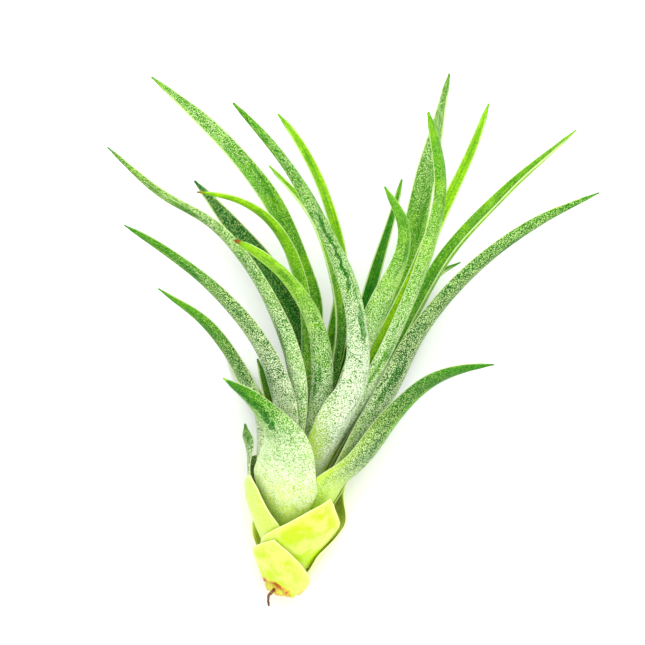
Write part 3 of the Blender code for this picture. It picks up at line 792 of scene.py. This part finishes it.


# %% [markdown]
# ## Dressing the leaves
#
# Each leaf now gets its skin. The leaves that face the camera are the most frosted, and those in
# the heart of the rosette are fresh or deep green. The small leaves that lie under the plant,
# behind the bulb, are painted deep green, and leaf_18 near black, as painted shade. Two leaves have
# rusty dry tips. Every finished leaf replaces its plain solid.

# %% Dress the leaves


def colour_stops(base, low, body, tip, mouth, last=None):
    """Colour stops from the seat of a leaf to its tip. mouth is the share at which it opens."""
    stops = [(0.0, base), (0.85 * mouth, base), (min(0.9, mouth + 0.14), low),
             (min(0.94, mouth + 0.34), body), (0.95, tip)]
    return stops + [(0.975, tip), (0.99, last)] if last else stops


def frost_stops(at_mouth, at_middle, at_tip, mouth):
    """Amounts of scales from the seat of a leaf to its tip."""
    return [(0.0, 0.4 * at_mouth), (0.6 * mouth, 0.75 * at_mouth), (1.1 * mouth, at_mouth),
            (0.5 * (1 + mouth), at_middle), (0.93, at_tip), (1.0, 0.0)]


SKINS = {
    # base, low, body and tip; frost at the mouth, the middle and the tip; and what is special
    # leaf_03, leaf_04, leaf_10 and leaf_22 have one half of the blade painted brighter: painted
    # light.
    "leaf_01": ("straw", "leaf", "deep", "leaf", (0.2, 0.05, 0.1), {"inner": "deep", "sunny": 0.2}),
    "leaf_02": ("straw", "leaf", "leaf", "lime", (0.6, 0.5, 0.15), {"inner": "leaf"}),
    "leaf_03": ("straw", "leaf", "fresh", "fresh", (0.75, 0.66, 0.25),
                {"painted_light_side": -1, "painted_light_colour": "fresh"}),
    "leaf_04": ("straw", "leaf", "leaf", "lime", (0.5, 0.35, 0.1), {"painted_light_side": 1}),
    "leaf_05": ("straw", "leaf", "fresh", "lime", (0.6, 0.35, 0.0), {"last": "rust"}),
    "leaf_06": ("straw", "leaf", "lime", "fresh", (0.4, 0.2, 0.05),
                {"inner": "lime", "inner_share": 0.8}),
    "leaf_07": ("glow", "leaf", "leaf", "lime", (0.7, 0.6, 0.15), {"last": "rust"}),
    "leaf_08": ("straw", "leaf", "fresh", "sage", (0.6, 0.42, 0.6), {"sunny": 0.15}),
    "leaf_09": ("straw", "leaf", "fresh", "sage", (0.6, 0.42, 0.6), {"inner_share": 0.7}),
    "leaf_10": ("glow", "leaf", "fresh", "fresh", (0.8, 0.62, 0.25),
                {"painted_light_side": 1, "painted_light_colour": "fresh"}),
    "leaf_11": ("straw", "leaf", "fresh", "lime", (0.5, 0.35, 0.2),
                {"inner": "leaf", "inner_share": 0.6}),
    "leaf_12": ("glow", "leaf", "leaf", "sage", (0.7, 0.64, 0.5), {"sunny": 0.3}),
    "leaf_13": ("straw", "grey_green", "grey_green", "grey_green", (0.4, 0.35, 0.45),
                {"inner": "deep", "sunny": 0.0}),
    "leaf_14": ("glow", "leaf", "fresh", "leaf", (0.6, 0.4, 0.3), {}),
    "leaf_15": ("glow", "leaf", "leaf", "leaf", (0.98, 0.66, 0.4),
                {"worn_at": 1.4, "young": 0.8, "sunny": 0.15, "rubbed": (0.5, 0.72, 0.0, 0.16),
                 "bare_side": 1}),
    # leaf_16, leaf_18, leaf_20, leaf_23 and leaf_24 lie under the plant, behind the bulb: their
    # deep green and near black are painted shade.
    "leaf_16": ("straw", "deep", "deep", "leaf", (0.3, 0.2, 0.2), {"sunny": 0.0}),
    "leaf_17": ("glow", "leaf", "grey_green", "leaf", (0.7, 0.55, 0.45), {"sunny": 0.0}),
    "leaf_18": ("straw", "painted_shade_green", "painted_shade_green", "grey_green", (0.2, 0.2, 0.2), {"sunny": 0.0}),
    "leaf_19": ("glow", "sage", "grey_green", "leaf", (0.74, 0.62, 0.25), {"sunny": 0.1}),
    "leaf_20": ("straw", "deep", "deep", "leaf", (0.3, 0.2, 0.2), {"sunny": 0.0}),
    "leaf_21": ("straw", "grey_green", "grey_green", "fresh", (0.75, 0.5, 0.15), {"sunny": 0.0}),
    "leaf_22": ("glow", "grey_green", "grey_green", "leaf", (0.62, 0.4, 0.12),
                {"painted_light_side": -1, "painted_light_colour": "fresh", "young": 0.5, "sunny": 0.0}),
    "leaf_23": ("straw", "deep", "deep", "leaf", (0.3, 0.2, 0.2), {"sunny": 0.0}),
    "leaf_24": ("straw", "deep", "deep", "leaf", (0.3, 0.2, 0.2), {"sunny": 0.0}),
    "leaf_25": ("straw", "mint", "leaf", "leaf", (0.82, 0.62, 0.1),
                {"young": 0.1, "sunny": 0.1, "rubbed": (0.62, 0.93, -0.12, 0.16), "last": "lime"}),
    "leaf_26": ("sage", "grey_green", "grey_green", "grey_green", (0.7, 0.6, 0.4), {"young": 0.0}),
}

LEAF_SEED = 100
finished = []
for number, (name, leaf) in enumerate(LEAVES.items()):
    rings, values, mouth = leaf_rings(leaf, np.random.default_rng(LEAF_SEED + number))
    skin = wrap_skin("fine_" + name, rings, values)
    *colours, amounts, special = SKINS[name]
    stops = colour_stops(*colours, mouth, special.get("last"))
    others = {key: value for key, value in special.items() if key != "last"}
    frost = frost_stops(*amounts, mouth)
    skin.data.materials.append(leaf_skin("skin_" + name, stops, frost, **others))
    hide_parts(name)
    finished.append(skin)
print("leaves:", len(finished), "faces:", sum(len(skin.data.polygons) for skin in finished))

# %% [markdown]
# ## The skin of a bract
#
# A bract is almost without scales. Its yellow is deepest where it is thick and juicy and pales to
# cream at its papery margin. Light passes through it, so more of it scatters below the surface
# than in a leaf. Where the lowest one was torn off the plant's old support, its foot has dried to
# gold and rust.

# %% The skin of a bract


def bract_skin(name, deep, pale, frost, green, rusty):
    """The material of one bract.

    deep, pale: the colours of its juicy and its papery parts.
    frost: the amount of its scales.
    green: how much its upper part takes after the leaves.
    rusty: how much its foot has dried.
    """
    material, tree, shader, place = new_skin(name)
    own_map = plug(tree, "ShaderNodeUVMap").outputs["UV"]
    share, edge = told(tree, "share"), told(tree, "edge")

    juicy = ramped(tree, noise_in(tree, place, FINENESS["juice"], 3.0, 0.55), 0.4, 0.58)
    juicy = times(tree, juicy, ramped(tree, edge, 0.3, 4.0))
    colour = mixed(tree, juicy, COLOURS[pale], COLOURS[deep])
    colour = mixed(tree, ramped(tree, share, 0.35, 1.0, 0.0, green), colour, COLOURS["mint"])
    veins = noise_in(tree, stretched(tree, own_map, (90.0, 1.6, 1.0)))
    vein_line = ramped(tree, veins, 0.45, 0.65, 0.0, 0.2)
    colour = mixed(tree, vein_line, colour, DARKER["bract_vein"], "MULTIPLY")
    scales = scales_on(tree, place, frost)
    colour = mixed(tree, scales, colour, COLOURS["scale"])
    colour = mixed(tree, ramped(tree, edge, 0.15, 0.85, 0.8, 0.0), colour, COLOURS["cream"])
    if rusty:
        blotch = noise_in(tree, place, FINENESS["rust"], 3.0, 0.6)
        near = ramped(tree, share, 0.0, 0.16, 1.0, 0.0)
        scarred = ramped(tree, told(tree, "across"), -0.45, 0.1, 0.62, 0.42)
        dry = reckon(tree, "ADD", times(tree, near, scarred), blotch)
        for low, high, most, tone in ((0.78, 0.98, 0.8, "gold"), (0.96, 1.06, 1.0, "rust")):
            dried = ramped(tree, dry, low, high, 0.0, most * rusty)
            colour = mixed(tree, dried, colour, COLOURS[tone])
    connect(tree, shader, {
        "Base Color": colour,
        "Roughness": ramped(tree, scales, 0.0, 1.0, 0.34, 0.7),
        "Normal": bumped(tree, veins, 0.25),
        "Specular IOR Level": 0.25,
        "Subsurface Weight": 0.4,
        "Subsurface Scale": SCATTER_DEPTH,
        "Subsurface Radius": (1.0, 1.0, 0.3),
    })
    return material


BRACT_SKINS = {
    "bract_1": ("straw", "cream", 0.3, 0.6, 0.0),
    "bract_2": ("glow", "straw", 0.3, 0.3, 0.0),
    "bract_3": ("lemon", "butter", 0.0, 0.0, 0.0),
    "bract_4": ("straw", "cream", 0.3, 0.3, 0.0),
    "bract_5": ("lemon", "butter", 0.0, 0.0, 0.9),
}
BRACT_SEED = 300
for number, (name, bract) in enumerate(BRACTS.items()):
    rings, values = bract_rings(bract, np.random.default_rng(BRACT_SEED + number))
    skin = wrap_skin("fine_" + name, rings, values)
    skin.data.materials.append(bract_skin("skin_" + name, *BRACT_SKINS[name]))
    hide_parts(name)
    finished.append(skin)
print("bracts:", len(BRACTS))

# %% [markdown]
# ## The stem's dry end and the root
#
# Only the stub of the stem shows, golden and fibrous where it broke off. It is turned from its
# outline with the Screw modifier, as on a lathe, and then its foot is roughened. The root is a
# thin brown wire that leaves the stub, bends and hangs. It is a tube on a curve with a few kinks.

# %% Turn the stem and draw the root
STUB, STUB_RADIUS = 1.3, 2.8
TURNING_STEPS = 64
TURNING_MERGE = 0.0001
ROUGHNESS = 0.12            # height of the ridges on the stub
ROOT_RADIUS = 0.4
KINK = 0.08                 # how far the root strays from its route
STEM_SEED, ROOT_SEED = 7, 12


def bark_skin(name, light, dark, fineness):
    """The material of a dry piece, with fibres along it."""
    material, tree, shader, place = new_skin(name)
    along = stretched(tree, place, (fineness, 0.3 * fineness, fineness))
    fibres = noise_in(tree, along, 1.0, 4.0, 0.65)
    share = ramped(tree, fibres, 0.35, 0.65)
    connect(tree, shader, {
        "Base Color": mixed(tree, share, COLOURS[dark], COLOURS[light]),
        "Roughness": ramped(tree, fibres, 0.3, 0.7, 0.9, 0.6),
        "Normal": bumped(tree, fibres, 0.6),
    })
    return material


def add_object(name, data):
    """Put an object with this data in the scene, and pick it alone."""
    bpy.ops.object.select_all(action="DESELECT")
    added = bpy.data.objects.new(name, data)
    bpy.context.scene.collection.objects.link(added)
    bpy.context.view_layer.objects.active = added
    added.select_set(True)
    return added


outline = [(0.0, STEM_TOP + 0.5), (0.72, STEM_TOP + 0.1)]
outline += [(stem_radius(height), height) for height in (27.2, 20.0, 12.0, 5.0, 2.5, STEM_FOOT)]
outline += [(0.9 * STEM_FOOT_RADIUS, -0.4 * STUB), (1.2 * STUB_RADIUS, -0.8 * STUB),
            (STUB_RADIUS, -STUB), (0.5 * STUB_RADIUS, -1.1 * STUB), (0.0, -1.2 * STUB)]
profile = bpy.data.meshes.new("fine_stem")
steps = [(i, i + 1) for i in range(len(outline) - 1)]
profile.from_pydata([(radius, 0.0, height) for radius, height in outline], steps, [])
stem = add_object("fine_stem", profile)
turning = stem.modifiers.new("Turn", "SCREW")
turning.steps = turning.render_steps = TURNING_STEPS
turning.use_merge_vertices = True
turning.merge_threshold = TURNING_MERGE
bpy.ops.object.modifier_apply(modifier="Turn")
chance = np.random.default_rng(STEM_SEED)
for vertex in stem.data.vertices:
    x, y, height = vertex.co
    if height < STEM_FOOT and math.hypot(x, y) > 0.1:
        height += ROUGHNESS * math.sin(7 * math.atan2(y, x)) + chance.uniform(-0.1, 0.1)
    vertex.co = (AXIS_FOOT + PLACE + x * RIGHT - y * FRONT + height * ALONG) * MM
face_outwards()
stem.data.materials.append(bark_skin("skin_stem", "straw", "gold", FINENESS["stem"]))
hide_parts("stem")

ROOT_SIDE = outward(math.radians(-30))
ROOT_START = AXIS_FOOT + 0.7 * ALONG + 5.3 * ROOT_SIDE
ROOT_STOPS = [ROOT_START - 0.4 * ROOT_SIDE, ROOT_START + 0.9 * ROOT_SIDE - 0.7 * ALONG,
              (-4.5, -0.2, 8.0), (-4.4, -2.7, 5.2)]
route = smooth_path(ROOT_STOPS, 8)
chance = np.random.default_rng(ROOT_SEED)
wire = bpy.data.curves.new("fine_dry_root", "CURVE")
wire.dimensions = "3D"
wire.bevel_depth = ROOT_RADIUS * MM
wire.bevel_resolution = 3
wire.use_fill_caps = True
spline = wire.splines.new("POLY")
spline.points.add(len(route) - 1)
for step, (point, spot) in enumerate(zip(spline.points, route)):
    spot = spot + chance.uniform(-KINK, KINK, 3)
    point.co = (*((spot + PLACE) * MM), 1.0)
    point.radius = 1.05 - 0.35 * step / len(route) + chance.uniform(-KINK, KINK)
root = add_object("fine_dry_root", wire)
bpy.ops.object.convert(target="MESH")
root = bpy.context.object
root.data.materials.append(bark_skin("skin_dry_root", "bark", "husk", FINENESS["root"]))
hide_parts("dry_root")
finished += [stem, root]

# %% [markdown]
# ## Where each piece belongs
#
# Nothing on the plant moves, so every piece rides on the plant's body.

# %% Bodies
for piece in finished:
    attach(piece, "root")
print("pieces:", len(finished))

# %% [markdown]
# ## Table, light and camera
#
# The picture is bright and almost free of shadows, so the table is nearly white, the sky gives
# even light from all sides, and one wide lamp above it gives the leaves some shape. The camera
# looks straight down from far away through a long lens, which keeps leaves at different heights
# at the same scale.

# %% Table, light and camera
FIELD = 161.25              # width of the picture, in millimetres
LOOK_AT = np.array([-7.79, 4.47, 27.0])
CAMERA_HEIGHT = 3.0
TABLE_SIZE = 6.0
SKY_STRENGTH = 1.3
LAMP_SIZE, LAMP_POWER = 0.9, 9.0
LAMP_PLACE = (0.1, 0.6, 1.1)
LAMP_TILT = (math.radians(-28.6), math.radians(5.0), 0.0)

bpy.ops.object.select_all(action="DESELECT")
bpy.ops.mesh.primitive_plane_add(size=TABLE_SIZE, location=(0.0, 0.0, 0.0))
table = bpy.context.object
table.name = "table"
paper, tree, shader, place = new_skin("pale_paper")
grain = noise_in(tree, place, FINENESS["grain"], 3.0)
tone = mixed(tree, grain, (0.9, 0.9, 0.9, 1.0), (0.94, 0.94, 0.94, 1.0))
connect(tree, shader, {"Base Color": tone, "Roughness": 0.9})
table.data.materials.append(paper)

world = bpy.data.worlds.new("even_light")
world.use_nodes = True
sky = world.node_tree.nodes["Background"]
connect(world.node_tree, sky, {"Color": (1.0, 1.0, 1.0, 1.0), "Strength": SKY_STRENGTH})
bpy.context.scene.world = world

lamp = bpy.data.lights.new("wide_lamp", "AREA")
lamp.shape = "DISK"
lamp.size = LAMP_SIZE
lamp.energy = LAMP_POWER
lamp_holder = add_object("wide_lamp", lamp)
lamp_holder.location = LAMP_PLACE
lamp_holder.rotation_euler = LAMP_TILT
lamp_holder.visible_camera = False

lens = bpy.data.cameras.new("camera")
lens.sensor_width = 36.0
lens.lens = lens.sensor_width * (CAMERA_HEIGHT / MM - LOOK_AT[2]) / FIELD
lens.clip_start, lens.clip_end = 0.1, 20.0
camera = add_object("camera", lens)
camera.location = (LOOK_AT[0] * MM, LOOK_AT[1] * MM, CAMERA_HEIGHT)
bpy.context.scene.camera = camera
bpy.context.scene.view_settings.view_transform = "Standard"
print("lens:", round(lens.lens), "mm")
